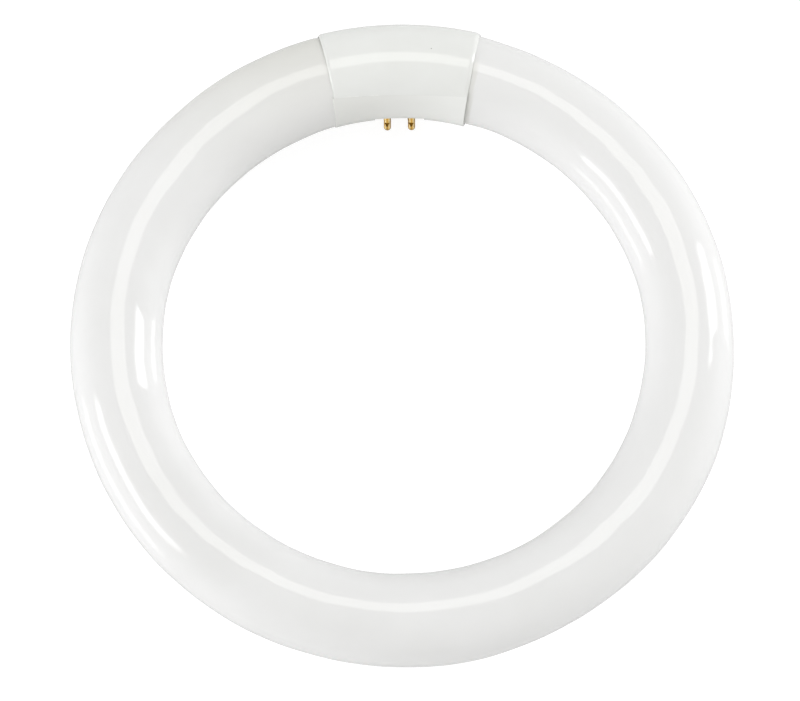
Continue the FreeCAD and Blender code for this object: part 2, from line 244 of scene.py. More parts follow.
# %% Build the glass ring
SHOULDER = 3.0 * MM
SHOULDER_STEPS = 8
STEM_PATH = ((2.0, 0.02), (3.5, 2.1), (10.0, 2.1), (10.0, 5.0), (0.0, 7.5))    # millimetres
ALONG_RING = 760


def stem_loops(end_angle, inward):
    """Loops from the exhaust stub's point out to the end of the shoulder, at one glass end."""
    loops = []
    for depth, radius in STEM_PATH:
        loops.append(glass_loop(end_angle + inward * depth * MM / RING, TUBE - radius * MM))
    for step in range(SHOULDER_STEPS):
        bend = math.pi / 2 * (1 - step / SHOULDER_STEPS)
        angle = end_angle + inward * SHOULDER * (1 - math.sin(bend)) / RING
        loops.append(glass_loop(angle, SHOULDER * (1 - math.cos(bend))))
    return loops


far_end = 2 * math.pi - GLASS_END
first_angle = GLASS_END + SHOULDER / RING
last_angle = far_end - SHOULDER / RING
glass_angles = [first_angle + (last_angle - first_angle) * i / ALONG_RING for i in range(ALONG_RING + 1)]
glass_loops = stem_loops(GLASS_END, 1)
glass_loops += [glass_loop(angle, 0.0) for angle in glass_angles]
glass_loops += reversed(stem_loops(far_end, -1))
glass_ring = new_piece("coated_glass_ring", *closed_skin(glass_loops), "glass_tube", "coated_glass")

# %% [markdown]
# ## The cover half of the base
#
# The base is two thin moulded halves that close round the joint of the ring.
# The cover is a curved band: its section is part of a circle, and both its long edges lie in the split plane.
# A boolean cut of a torus would do it, but would leave long thin faces along the cut, which gloss shows.
# Here each loop runs once round the section, out and back, and is fitted between the edges of the split.
# The long edges and the open ends are rounded as a mould leaves them, which draws the fine parting line.

# %% Where the sleeve ends and splits
SLANT = math.radians(45)          # pins, and the split square to them, below the ring's plane
SPLIT = 1.8 * MM                  # sleeve's centre to the split, towards the pins
WALL = 0.7 * MM                   # moulded wall
LEAN = math.radians(12)           # end planes lean this much from the middle plane
SETTLING_ROUNDS = 8               # the ends lean, so a split angle is found in rounds
outer_reach = SLEEVE_RING + SLEEVE
END_PLANE = outer_reach * math.sin(math.asin(cover_high.x / outer_reach) - LEAN)


def sleeve_end(plan_radius):
    """Angle from the middle of the base to the leaning end plane, at a radius from the ring's axis."""
    return LEAN + math.asin(END_PLANE / plan_radius)


def split_turns(radius, along, inset=0.0):
    """The two section angles at which a sleeve surface meets the split, at a share along the sleeve."""
    rise = math.sin(SLANT)
    turns = []
    for sign in (-1, 1):
        turn = SLANT + sign * math.pi / 2
        for _ in range(SETTLING_ROUNDS):
            plan_radius = SLEEVE_RING + radius * math.cos(turn)
            angle = along * (sleeve_end(plan_radius) - inset / plan_radius)
            flat = math.cos(SLANT) * math.cos(angle)
            level = math.cos(SLANT) * SLEEVE_RING * (1 - math.cos(angle)) - SPLIT
            turn = math.atan2(rise, flat) + sign * math.acos(level / (radius * math.hypot(flat, rise)))
        turns.append(turn)
    return turns


print("split at", [round(math.degrees(t), 1) for t in split_turns(SLEEVE, 0)], "degrees round the section")

# %% [markdown]
# ## Rounded edges of the cover
#
# A moulded edge is never sharp, and the light line along it tells the eye how thick the wall is.
# A bevel modifier would round all edges alike, but here the right end is worn and the left end is crisper.
# So the rounding is part of the loops: each point is dropped by the height of the round at its place.

# %% Sections of the cover
SPLIT_ROUNDING = (0.08 * MM, 0.01 * MM)    # long edges of the cover at its left and right ends
FLUSH = 2.2 * MM                  # this near to the split, a rounded end fades out to meet the pin half
ROUNDING_STEPS = 6
AROUND_COVER = 120


def edge_steps(low, high, rounding, radius):
    """(angle, drop) pairs from one long edge to the other: rounded edge, plain arc, rounded edge."""
    bends = [math.pi / 2 * i / ROUNDING_STEPS for i in range(ROUNDING_STEPS, 0, -1)]
    edge = [(rounding * (1 - math.sin(b)) / radius, rounding * (1 - math.cos(b))) for b in bends]
    start = low + rounding / radius
    stop = high - rounding / radius
    arc = [(start + (stop - start) * i / AROUND_COVER, 0.0) for i in range(AROUND_COVER + 1)]
    return [(low + a, d) for a, d in edge] + arc + [(high - a, d) for a, d in reversed(edge)]


def sleeve_point(turn, radius, along, inset):
    """A point of the sleeve, drawn back from its end plane by an inset."""
    plan_radius = SLEEVE_RING + radius * math.cos(turn)
    angle = along * (sleeve_end(plan_radius) - inset / plan_radius)
    return ring_point(angle, plan_radius, radius * math.sin(turn))


def cover_loop(along, inset, drop):
    """One loop of the cover: out over its outside, back through its bore."""
    low, high = split_turns(SLEEVE, along, inset)
    rounding = SPLIT_ROUNDING[0] + (SPLIT_ROUNDING[1] - SPLIT_ROUNDING[0]) * (along + 1) / 2
    steps = edge_steps(low, high, rounding, SLEEVE)
    outside = []
    for turn, edge_drop in steps:
        from_split = min(turn - low, high - turn) * SLEEVE
        end_drop = drop * ease(from_split / FLUSH)
        outside.append(sleeve_point(turn, SLEEVE - max(edge_drop, end_drop), along, inset))
    bore = SLEEVE - WALL
    bore_low, bore_high = split_turns(bore, along, inset)
    shares = [(turn - low) / (high - low) for turn, _ in steps]
    inside = [sleeve_point(bore_low + (bore_high - bore_low) * s, bore, along, inset) for s in shares]
    return outside + inside[::-1]


# %% Build the cover
LEFT_END = (math.radians(50), 0.55 * MM)    # slope that the rounded left end reaches, and its fall
RIGHT_END = (math.radians(40), 0.65 * MM)   # the right end is worn to a longer round
LEFT_SHORT = 0.45 * MM            # the cover sits this much short of the pin half at its left end
END_SPACE = 1.3                   # end plane to the first plain loop, in depths of the rounded end
ALONG_COVER = 90


def end_round(slope, fall):
    """(inset, drop) pairs of an arc from the lip of an end, at that slope, up to the plain outside."""
    curve = fall / (1 - math.cos(slope))
    bends = [slope * i / ROUNDING_STEPS for i in range(ROUNDING_STEPS, -1, -1)]
    return [(curve * (math.sin(slope) - math.sin(b)), curve * (1 - math.cos(b))) for b in bends]


def cover_loops():
    """All loops, from the left end to the right, with rounded ends."""
    left_end = end_round(*LEFT_END)
    right_end = end_round(*RIGHT_END)
    left = [cover_loop(-1, LEFT_SHORT + inset, drop) for inset, drop in left_end]
    right = [cover_loop(1, inset, drop) for inset, drop in reversed(right_end)]
    half = SLEEVE_RING * sleeve_end(SLEEVE_RING)
    start = END_SPACE * (LEFT_SHORT + left_end[-1][0]) / half - 1
    stop = 1 - END_SPACE * right_end[-1][0] / half
    middle = [cover_loop(start + (stop - start) * i / ALONG_COVER, 0, 0) for i in range(ALONG_COVER + 1)]
    return left + middle + right


def band_faces(rows, count):
    """Faces of a band whose loops go out and back: the skin, and a strip of quads over each end."""
    faces = skin_faces(rows, count)
    last = (rows - 1) * count
    for i in range(count // 2 - 1):
        out = i
        back = count - 1 - i
        faces.append((out, back, back - 1, out + 1))
        faces.append((last + out, last + out + 1, last + back - 1, last + back))
    return faces


loops = cover_loops()
cover_points = [p for loop in loops for p in loop]
cover_faces = band_faces(len(loops), len(loops[0]))
base_cover = new_piece("base_cover_moulding", cover_points, cover_faces, "base_cover", "base_plastic")

# %% [markdown]
# ## Greying and painted shade near the ends
#
# The electrodes sit just inside the ends of the tube, and the coating greys there, most at the left end.
# Beside the base the same darkening also stands in as painted shade, where the glass faces the base.
# At the right mouth a narrow band of the glass is painted darker too, as painted shade in the gap between the
# sleeve and the glass.
# A material can't know where the base is, so each point of the glass gets a number for how grey and shaded it
# is; the finish reads that number later, and it stays with the mesh when the lamp is used elsewhere.
# Places across the tube run from -1 at the inside of the ring to 1 at its outside.

# %% Mark the greyed and shaded ends
END_GREY_REACH = math.radians(45)
GREY_ON_TOP = 0.6                 # greyness along the top of the tube, beside a mouth
GREY_OUTWARDS = 0.4               # added at the outside and taken off at the inside
RIGHT_SHARE = 0.1                 # the right end has hardly greyed
# Painted shade in the gap beside the right mouth: its grey, its width and how it fades
MOUTH_SHADE_GREY = 0.6
MOUTH_SHADE_WIDTH = 2.0 * MM
MOUTH_SHADE_FADE = 0.6 * MM
MOUTH_SHADE_EDGE = 0.35                 # outermost place of the painted shade across the tube
MOUTH_SHADE_EDGE_FADE = 0.5


def mouth_shade(angle, plan_radius, outwards):
    """Painted shade in the gap at the right mouth: full beside it on the inner half of the tube, 0 past its
    width.
    """
    past_mouth = (angle - sleeve_end(plan_radius)) * plan_radius
    beside = ease((MOUTH_SHADE_WIDTH - past_mouth) / MOUTH_SHADE_FADE)
    return MOUTH_SHADE_GREY * beside * ease((MOUTH_SHADE_EDGE - outwards) / MOUTH_SHADE_EDGE_FADE)


def grey_and_shade_at(point):
    """Greying, partly real and partly painted shade: 1 outside at the mouths of the sleeve, falling to 0
    along the ring and less towards its inside.
    """
    angle = math.atan2(abs(point.x), point.y)
    plan_radius = math.hypot(point.x, point.y)
    near = 1 - ease((angle - MOUTH) / END_GREY_REACH)
    outwards = min(1.0, max(-1.0, (plan_radius - RING) / TUBE))
    grey = near * (GREY_ON_TOP + GREY_OUTWARDS * outwards)
    if point.x < 0:
        return grey
    return max(grey * RIGHT_SHARE, mouth_shade(angle, plan_radius, outwards))


# Greying near the mouths, partly real and partly painted shade beside the base
grey_and_shade_values = [grey_and_shade_at(v.co) for v in glass_ring.data.vertices]
paint_points(glass_ring, "end_grey_and_shade", grey_and_shade_values)
print(f"greyed {sum(g > 0.5 for g in grey_and_shade_values)} points of the glass by more than half")

# %% [markdown]
# ## Painted light on one side of the ring
#
# The coating is painted a little whiter on one side of the ring than on the other.
# This is painted light, where more of the room's light falls on that side.
# One slow wave round the ring, stored at the points, is all that this needs.

# %% Mark the painted lit side
BRIGHTEST_BEARING = math.radians(60)       # clockwise from the middle of the base
PAINTED_LIGHT_SHARE = 0.7


def side_light_share(point):
    """Share of painted light: 0 on the darker side of the ring and the full share on the lit side."""
    return PAINTED_LIGHT_SHARE * (0.5 + 0.5 * math.cos(math.atan2(point.x, point.y) - BRIGHTEST_BEARING))


paint_points(glass_ring, "painted_light_side", [side_light_share(v.co) for v in glass_ring.data.vertices])
# Prints where the painted light on the ring is brightest
print(f"powder is thickest {math.degrees(BRIGHTEST_BEARING):.0f} degrees from the base")

# %% [markdown]
# ## Painted highlights along the parting line
#
# Where the halves meet, two short places of the cover's edge left of the pins are painted white, as painted
# highlights where the edge catches the light.
# A painted picture could show them, but it would need the cover unwrapped for two small marks.
# The marks follow the split, so each point of the cover gets a number from its distance to that plane.

# %% Mark the painted highlights
EDGE_HIGHLIGHTS = ((-12.9, -9.0), (-7.2, -4.4))    # degrees from the middle of the base
EDGE_HIGHLIGHT_FADE = 0.8                  # degrees over which a painted highlight begins and ends
EDGE_HIGHLIGHT_HEIGHT = 0.60 * MM
EDGE_HIGHLIGHT_MEAN = 0.65
EDGE_HIGHLIGHT_WAVER = 0.35                # how much stronger and weaker a painted highlight gets along its length
EDGE_HIGHLIGHT_WAVES = (9.0, 4.1)


def edge_highlighting(point):
    """How far a point of the cover is painted white as a highlight, from 0 to 1."""
    if point.y > SLEEVE_RING:
        return 0.0
    towards_pins = (SLEEVE_RING - point.y) * math.cos(SLANT) + (MIDDLE - point.z) * math.sin(SLANT)
    degrees = math.degrees(math.atan2(point.x, point.y))
    patch = max(ease((degrees - a) / EDGE_HIGHLIGHT_FADE) * ease((b - degrees) / EDGE_HIGHLIGHT_FADE) for a, b in EDGE_HIGHLIGHTS)
    waver = math.sin(degrees * EDGE_HIGHLIGHT_WAVES[0]) * math.sin(degrees * EDGE_HIGHLIGHT_WAVES[1])
    near_split = ease(1 - (SPLIT - towards_pins) / EDGE_HIGHLIGHT_HEIGHT)
    return patch * (EDGE_HIGHLIGHT_MEAN + EDGE_HIGHLIGHT_WAVER * waver) * near_split


edge_highlight_values = [edge_highlighting(v.co) for v in base_cover.data.vertices]
paint_points(base_cover, "edge_highlight", edge_highlight_values)
print(f"scuffed {sum(s > 0 for s in edge_highlight_values)} points of the cover")

# %% [markdown]
# ## The contact pins
#
# Each pin is a hollow brass rivet: a collar holds it behind the plate, and its end is pinched onto the wire.
# The pinch leaves a wedge-shaped dent on the side and a seam from there to the tip.
# Cutting the dent with a boolean gives knife edges, but pressed metal flows.
# So the dent is a depth, worked out at each place, by which the pin's radius is drawn in there.

# %% Shape of the pinch
DENT_TOP = 2.85 * MM              # tip back to the wide end of the dent
DENT_POINT = 1.35 * MM            # tip back to its narrow end
DENT_HALF = 1.00 * MM
DENT_DEPTH = 0.45 * MM
DENT_FLANK = 0.22 * MM
SEAM_HALF = 0.22 * MM
SEAM_DEPTH = 0.16 * MM


def dent_depth(across, from_tip):
    """How deep the pinch is, at a distance across the pin's front and back from its tip."""
    widening = (from_tip - DENT_POINT) / (DENT_TOP - DENT_POINT)
    half = DENT_HALF * min(1.0, max(0.0, widening))
    wedge = ease((half - abs(across)) / DENT_FLANK) * ease((DENT_TOP - from_tip) / DENT_FLANK + 1)
    seam = ease((SEAM_HALF - abs(across)) / SEAM_HALF) * ease((DENT_TOP - from_tip) / DENT_FLANK)
    return max(DENT_DEPTH * wedge, SEAM_DEPTH * seam)


# %% [markdown]
# ## Turning the pins
#
# A rivet like this is drawn and turned, so its whole shape is one path of depths and radii about its axis.
# Depths are measured along the pin from the sleeve's centre line, as they are in the solids.
# While the pin is turned, each point also notes its dent, its painted edge shade and the painted highlight
# bands beside it.

# %% Outline of a pin
PIN_SPACING = 7.92 * MM
ROW_SPACING = 6.35 * MM
PIN_RADIUS = 1.175 * MM
PIN_ROOT = 12.93 * MM             # where the pin leaves the plate
PIN_TIP = 19.4 * MM
TIP_POINT = 0.005                 # the tip ends in a tiny flat, as a share of the pin's radius
ALONG_PIN = 84
TIP_STEPS = 28

# Depth and radius in millimetres, from the end of the bore, round the collar and out to the plate
PIN_PATH = (
    (18.10, 0.01),
    (18.10, 0.50),
    (10.20, 0.50),
    (10.20, 1.80),
    (10.28, 1.90),
    (10.62, 1.90),
    (10.70, 1.80),
    (10.70, 1.40),
    (12.88, 1.40),
    (12.93, 1.35),
    (12.93, 1.20),
)


def pin_outline():
    """(depth, radius) pairs of the pin's side from the plate to its round tip."""
    straight = PIN_TIP - PIN_RADIUS
    pairs = []
    for step in range(ALONG_PIN + 1):
        pairs.append((PIN_ROOT + (straight - PIN_ROOT) * step / ALONG_PIN, PIN_RADIUS))
    for step in range(1, TIP_STEPS + 1):
        bend = math.pi / 2 * step / TIP_STEPS
        pairs.append((straight + PIN_RADIUS * math.sin(bend), PIN_RADIUS * max(math.cos(bend), TIP_POINT)))
    return pairs


def pin_place(x, y, depth, side, row):
    """A point given in a pin's own axes: x along the ring, y up the rows, depth along the pin."""
    x += side * PIN_SPACING / 2
    y += row * ROW_SPACING / 2
    back = y * math.sin(SLANT) + depth * math.cos(SLANT)
    rise = y * math.cos(SLANT) - depth * math.sin(SLANT)
    return Vector((x, SLEEVE_RING - back, MIDDLE + rise))


# %% Build the pins
DENT_SIDE = -0.15 * MM            # the punch hit a little left of the middle
DENT_START = 13 * MM              # no dent nearer to the plate than this depth
DENT_LIMIT = 0.6                  # deepest dent, as a share of the radius at its place
AROUND_PIN = 128

# Places across the pin of the painted edge shade and the painted highlight bands, as shares of its half width
EDGE_SHADE_START = 0.70
EDGE_SHADE_WIDTH = 0.26
HIGHLIGHT_BAND_PLACE = 0.50
HIGHLIGHT_BAND_HALF = 0.24


def build_pin(name, side, row):
    """One pin, with its dent on the side that faces up and out of the ring's middle."""
    loops = []
    marks = {"pinch": [], "edge_shade": [], "highlight_band": []}
    for depth, radius in [(d * MM, r * MM) for d, r in PIN_PATH] + pin_outline():
        loop = []
        for step in range(AROUND_PIN):
            turn = 2 * math.pi * step / AROUND_PIN
            dent = 0.0
            if math.cos(turn) > 0 and depth > DENT_START:
                dent = dent_depth(radius * math.sin(turn) - DENT_SIDE, PIN_TIP - depth)
            dent = min(dent, radius * DENT_LIMIT)
            reach = radius - dent
            loop.append(pin_place(reach * math.sin(turn), reach * math.cos(turn), depth, side, row))
            sideways = abs(math.sin(turn))
            marks["pinch"].append(dent / DENT_DEPTH)
            # Painted shade along the pin's edges, and painted highlight bands beside them
            marks["edge_shade"].append(ease((sideways - EDGE_SHADE_START) / EDGE_SHADE_WIDTH))
            marks["highlight_band"].append(ease(1 - abs(sideways - HIGHLIGHT_BAND_PLACE) / HIGHLIGHT_BAND_HALF))
        loops.append(loop)
    piece = new_piece(f"brass_{name}", *closed_skin(loops), name, "pin_brass")
    for mark, values in marks.items():
        paint_points(piece, mark, values)
    return piece


brass_pins = []
for side_name, side in (("right", 1), ("left", -1)):
    for row_name, row in (("upper", 1), ("lower", -1)):
        brass_pins.append(build_pin(f"contact_pin_{side_name}_{row_name}", side, row))

# %% [markdown]
# ## Helpers for finishes
#
# Every finish is a small tree of nodes that ends in one Principled shader.
# Constants go straight onto the shader's own sockets, and only what varies over the surface is linked.
# Object coordinates are in metres here, so a noise whose scale is 1 divided by a size has grain of that size.
# A noise hardly leaves the middle of its range, so that middle is stretched before it is used.

# %% Node helpers for patterns
NOISE_MIDDLE = (0.3, 0.7)
NOISE_CORE = (0.35, 0.65)         # a narrower stretch, for clearer patches


def grain(tree, size, detail=3.0):
    """A noise whose features are about that size in metres."""
    place = tree.nodes.new("ShaderNodeTexCoord")
    noise = tree.nodes.new("ShaderNodeTexNoise")
    noise.inputs["Scale"].default_value = 1 / size
    noise.inputs["Detail"].default_value = detail
    tree.links.new(place.outputs["Object"], noise.inputs["Vector"])
    return noise.outputs["Fac"]


def spread(tree, source, low, high, out_low=0.0, out_high=1.0):
    """Maps a varying number from one range to another, clamped."""
    node = tree.nodes.new("ShaderNodeMapRange")
    for socket, value in zip(("From Min", "From Max", "To Min", "To Max"), (low, high, out_low, out_high)):
        node.inputs[socket].default_value = value
    tree.links.new(source, node.inputs["Value"])
    return node.outputs["Result"]


def blend_colours(tree, share, first, second):
    """A colour between two, each a colour or another node's output, by a varying share."""
    node = tree.nodes.new("ShaderNodeMix")
    node.data_type = "RGBA"
    tree.links.new(share, node.inputs["Factor"])
    for socket, colour in (("A", first), ("B", second)):
        target = next(s for s in node.inputs if s.name == socket and s.type == "RGBA")
        if isinstance(colour, tuple):
            target.default_value = (*colour, 1)
        else:
            tree.links.new(colour, target)
    return next(s for s in node.outputs if s.type == "RGBA")


def point_mark(tree, name):
    """The number that a mesh stores at its points under that name."""
    node = tree.nodes.new("ShaderNodeAttribute")
    node.attribute_name = name
    return node.outputs["Fac"]


# %% Node helpers for surfaces
def new_finish(name, **constants):
    """A material with one Principled shader. Returns the material, its tree and the shader."""
    material = bpy.data.materials.new(name)
    material.use_nodes = True
    tree = material.node_tree
    shader = tree.nodes["Principled BSDF"]
    for socket, value in constants.items():
        shader.inputs[socket].default_value = value
    return material, tree, shader


def vary_gloss(tree, shader, size, low, high):
    """Lets the shader's roughness wander between two values, in patches of a size in metres."""
    gloss = spread(tree, grain(tree, size), *NOISE_MIDDLE, low, high)
    tree.links.new(gloss, shader.inputs["Roughness"])


def emboss(tree, shader, height, distance):
    """Bends the shader's normal by a varying height, with full height equal to a distance in metres."""
    node = tree.nodes.new("ShaderNodeBump")
    node.inputs["Strength"].default_value = 1.0
    node.inputs["Distance"].default_value = distance
    tree.links.new(height, node.inputs["Height"])
    tree.links.new(node.outputs["Normal"], shader.inputs["Normal"])


def dress(piece, material):
    """Gives a piece, or a CAD node, one material."""
    if piece.material_slots:
        piece.material_slots[0].material = material
    else:
        piece.data.materials.append(material)


# %% [markdown]
# ## Coated glass
#
# What looks like white glass is clear glass with a matt white powder behind it.
# A true two-layer model would need a thin transparent wall, which costs many bounces and hardly shows.
# One Principled shader says the same: a white diffuse base for the powder, under the glass's reflection.
# The powder is slightly mottled, painted whiter on one side as painted light, and greyer towards the ends,
# partly from real greying and partly as painted shade; the drawn glass has a very fine waviness.

# %% Coated glass finish
GLASS_IOR = 1.5
POWDER_PAINTED_LIT = (0.887, 0.887, 0.890)
POWDER_WHITE = (0.848, 0.848, 0.851)
POWDER_THIN = (0.823, 0.823, 0.824)
POWDER_GREY_AND_SHADE = (0.742, 0.741, 0.704)
MOTTLE_SIZE = 22 * MM
POLISH_SIZE = 9 * MM
GLASS_POLISH = (0.006, 0.016)
WAVE_SIZE = 14 * MM
WAVE_HEIGHT = 0.05 * MM


def coated_glass():
    """White powder that varies at random, with painted light on one side and greying and painted shade at the
    ends, under a polished skin.
    """
    material, tree, shader = new_finish("coated_glass_finish", IOR=GLASS_IOR)
    mottle = spread(tree, grain(tree, MOTTLE_SIZE), *NOISE_CORE)
    powder = blend_colours(tree, mottle, POWDER_WHITE, POWDER_THIN)
    # Painted light on one side of the ring, then greying and painted shade at the ends
    coat_and_side_light = blend_colours(tree, point_mark(tree, "painted_light_side"), powder, POWDER_PAINTED_LIT)
    greyed_and_shaded = blend_colours(tree, point_mark(tree, "end_grey_and_shade"), coat_and_side_light, POWDER_GREY_AND_SHADE)
    tree.links.new(greyed_and_shaded, shader.inputs["Base Color"])
    vary_gloss(tree, shader, POLISH_SIZE, *GLASS_POLISH)
    emboss(tree, shader, grain(tree, WAVE_SIZE, 1.0), WAVE_HEIGHT)
    return material


dress(glass_ring, coated_glass())
print("dressed", glass_ring.name)

# %% [markdown]
# ## Moulded plastic
#
# The base is an opaque white thermoplastic with a semi-gloss skin, a shade greener than the glass.
# Moulded skins are never mirror smooth, so a fine grain is embossed and the gloss varies slowly.
# One dark speck, moulded in, sits on the cover; it is a small soft disc about a point of the surface.
# The pin half has greyed on its left, where it is held when the lamp is pushed onto its holder.

# %% Skin and speck
PLASTIC_POLISH = (0.022, 0.045)
POLISH_PATCH = 6 * MM
MOULD_GRAIN = 0.6 * MM
MOULD_HEIGHT = 0.004 * MM
SPECK_RADIUS = 0.14 * MM
SPECK_EDGE = 1.6                  # where the speck has faded out, in radii
SPECK_PLACE = Vector((10.33, 93.27, 31.48)) * MM


def moulded_skin(tree, shader):
    """Slowly varying gloss and a very fine embossed grain."""
    vary_gloss(tree, shader, POLISH_PATCH, *PLASTIC_POLISH)
    emboss(tree, shader, grain(tree, MOULD_GRAIN), MOULD_HEIGHT)


def speck_mask(tree):
    """1 at the speck and 0 a little way from it."""
    place = tree.nodes.new("ShaderNodeTexCoord")
    distance = tree.nodes.new("ShaderNodeVectorMath")
    distance.operation = "DISTANCE"
    distance.inputs[1].default_value = SPECK_PLACE
    tree.links.new(place.outputs["Object"], distance.inputs[0])
    return spread(tree, distance.outputs["Value"], SPECK_RADIUS, SPECK_RADIUS * SPECK_EDGE, 1, 0)


# %% Moulded plastic finishes
PLASTIC_IOR = 1.5
PLASTIC_WHITE = (0.856, 0.866, 0.852)
PLASTIC_DULL = (0.836, 0.845, 0.828)
PLASTIC_HANDLED = (0.824, 0.829, 0.808)
PLASTIC_CLEAN = (0.886, 0.893, 0.878)
# White of the painted highlights along the parting line
EDGE_HIGHLIGHT_WHITE = (0.960, 0.960, 0.945)
SPECK_COLOUR = (0.42, 0.41, 0.39)
CLOUD_SIZE = 12 * MM
HANDLED_TO = -8 * MM              # from here leftwards the pin half is fully greyed
CLEAN_FROM = 16 * MM              # from here rightwards it is clean


def cover_plastic():
    """Cloudy white with the painted highlights and the speck."""
    material, tree, shader = new_finish("cover_plastic_finish", IOR=PLASTIC_IOR)
    cloud = spread(tree, grain(tree, CLOUD_SIZE), *NOISE_MIDDLE)
    white = blend_colours(tree, cloud, PLASTIC_WHITE, PLASTIC_DULL)
    # Painted highlights along the parting line
    highlighted = blend_colours(tree, point_mark(tree, "edge_highlight"), white, EDGE_HIGHLIGHT_WHITE)
    marked = blend_colours(tree, speck_mask(tree), highlighted, SPECK_COLOUR)
    tree.links.new(marked, shader.inputs["Base Color"])
    moulded_skin(tree, shader)
    return material


def pin_half_plastic():
    """White that is greyed by handling towards the left."""
    material, tree, shader = new_finish("pin_half_plastic_finish", IOR=PLASTIC_IOR)
    place = tree.nodes.new("ShaderNodeTexCoord")
    axes = tree.nodes.new("ShaderNodeSeparateXYZ")
    tree.links.new(place.outputs["Object"], axes.inputs[0])
    rightwards = spread(tree, axes.outputs["X"], HANDLED_TO, CLEAN_FROM)
    colour = blend_colours(tree, rightwards, PLASTIC_HANDLED, PLASTIC_CLEAN)
    tree.links.new(colour, shader.inputs["Base Color"])
    moulded_skin(tree, shader)
    return material


dress(base_cover, cover_plastic())
dress(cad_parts["base_pin_half"], pin_half_plastic())
print("dressed the two halves of the base")

# %% [markdown]
# ## Brass and lead wire
#
# The pins are drawn brass, with a painted highlight band down each side of the front and painted shade along
# the edges.
# The metal is painted darker in the dent, as painted shade.
# The numbers stored at the points choose between these colours, so that no picture has to be wrapped on.
# A fine grain from drawing the metal is embossed. The lead wires inside the base are dull nickel.

# %% Metal finishes
BRASS = (0.780, 0.500, 0.140)
BRASS_WARM = (0.720, 0.420, 0.095)
# Painted highlight, painted edge shade and painted shade in the dent
BRASS_HIGHLIGHT = (1.000, 0.850, 0.500)
BRASS_EDGE_SHADE = (0.430, 0.260, 0.085)
BRASS_DENT_SHADE = (0.210, 0.100, 0.008)
BRASS_PATCH = 0.8 * MM
BRASS_GLOSS = (0.5 * MM, 0.16, 0.30)      # size of the patches, then the two roughnesses
BRASS_GRAIN = 0.25 * MM
BRASS_GRAIN_HEIGHT = 0.01 * MM
DENT_SHADE_SHARES = (0.08, 0.45)           # shares of the deepest dent where the painted shade starts and is full
NICKEL = (0.560, 0.540, 0.510)
NICKEL_DULL = (0.420, 0.405, 0.380)
NICKEL_PATCH = 0.6 * MM
NICKEL_GLOSS = (0.3 * MM, 0.25, 0.45)


def drawn_brass():
    """Brass whose colour follows the painted highlight bands, the painted edge shade and the painted shade in
    the dent.
    """
    material, tree, shader = new_finish("drawn_brass_finish", Metallic=1.0)
    tone = spread(tree, grain(tree, BRASS_PATCH), *NOISE_CORE)
    bright = blend_colours(tree, tone, BRASS, BRASS_WARM)
    # Painted highlight bands, then painted shade along the edges and in the dent
    highlighted_brass = blend_colours(tree, point_mark(tree, "highlight_band"), bright, BRASS_HIGHLIGHT)
    edge_shaded_brass = blend_colours(tree, point_mark(tree, "edge_shade"), highlighted_brass, BRASS_EDGE_SHADE)
    dent_shade = spread(tree, point_mark(tree, "pinch"), *DENT_SHADE_SHARES)
    tree.links.new(blend_colours(tree, dent_shade, edge_shaded_brass, BRASS_DENT_SHADE), shader.inputs["Base Color"])
    vary_gloss(tree, shader, *BRASS_GLOSS)
    emboss(tree, shader, grain(tree, BRASS_GRAIN), BRASS_GRAIN_HEIGHT)
    return material


def dull_nickel():
    """Patchy grey metal."""
    material, tree, shader = new_finish("dull_nickel_finish", Metallic=1.0)
    tone = spread(tree, grain(tree, NICKEL_PATCH), *NOISE_MIDDLE)
    tree.links.new(blend_colours(tree, tone, NICKEL, NICKEL_DULL), shader.inputs["Base Color"])
    vary_gloss(tree, shader, *NICKEL_GLOSS)
    return material


brass = drawn_brass()
for pin in brass_pins:
    dress(pin, brass)
nickel = dull_nickel()
for name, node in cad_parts.items():
    if name.startswith("lead_wire"):
        dress(node, nickel)
print("dressed", len(brass_pins), "pins and the lead wires")

# %% [markdown]
# ## The light table
#
# The lamp lies on a white light table in a white room, and both have to come out as plain white paper.
# Stronger light would burn out the lamp's own whites, so only what the camera sees is lifted.
# A Light Path node tells camera, mirror and glass rays apart from the rays that carry light.
# The camera sees a white that still takes a faint shadow, and light falls on an ordinary white table.
# The table is a translucent sheet, so the glass also mirrors two lights that shine through it from below.

# %% Helpers for rays and shaders
def either_ray(tree, *kinds):
    """1 for rays of any of the kinds, named as the Light Path node names them, and 0 for others."""
    path = tree.nodes.new("ShaderNodeLightPath")
    result = path.outputs[kinds[0]]
    for other in kinds[1:]:
        either = tree.nodes.new("ShaderNodeMath")
        either.operation = "MAXIMUM"
        tree.links.new(result, either.inputs[0])
        tree.links.new(path.outputs[other], either.inputs[1])
        result = either.outputs[0]
    return result


def shader_node(tree, kind, **constants):
    """A shader node with constants on its sockets. Returns its output."""
    node = tree.nodes.new(kind)
    for socket, value in constants.items():
        node.inputs[socket].default_value = value
    return node.outputs[0]


def join_shaders(tree, kind, share, first, second):
    """Two shaders added, or mixed by a share when there is one, either a number or a node's output."""
    node = tree.nodes.new(kind)
    sockets = list(node.inputs)
    if isinstance(share, float):
        sockets.pop(0).default_value = share
    elif share is not None:
        tree.links.new(share, sockets.pop(0))
    tree.links.new(first, sockets[0])
    tree.links.new(second, sockets[1])
    return node.outputs[0]


# %% Table top
TABLE_HALF = 6.0
TABLE_GAP = 0.02 * MM             # table below the lowest point, so that no faces coincide
TABLE_WHITE = (0.90, 0.90, 0.90, 1)
TABLE_GLOW = 0.14                 # light that the table itself gives
SEEN_GLOW = 0.88
SEEN_SHADE = (0.22, 0.22, 0.22, 1)
MIRRORED_WHITE = (0.60, 0.60, 0.60, 1)
CLEARNESS = 0.32                  # share of the mirrored view that goes through the table


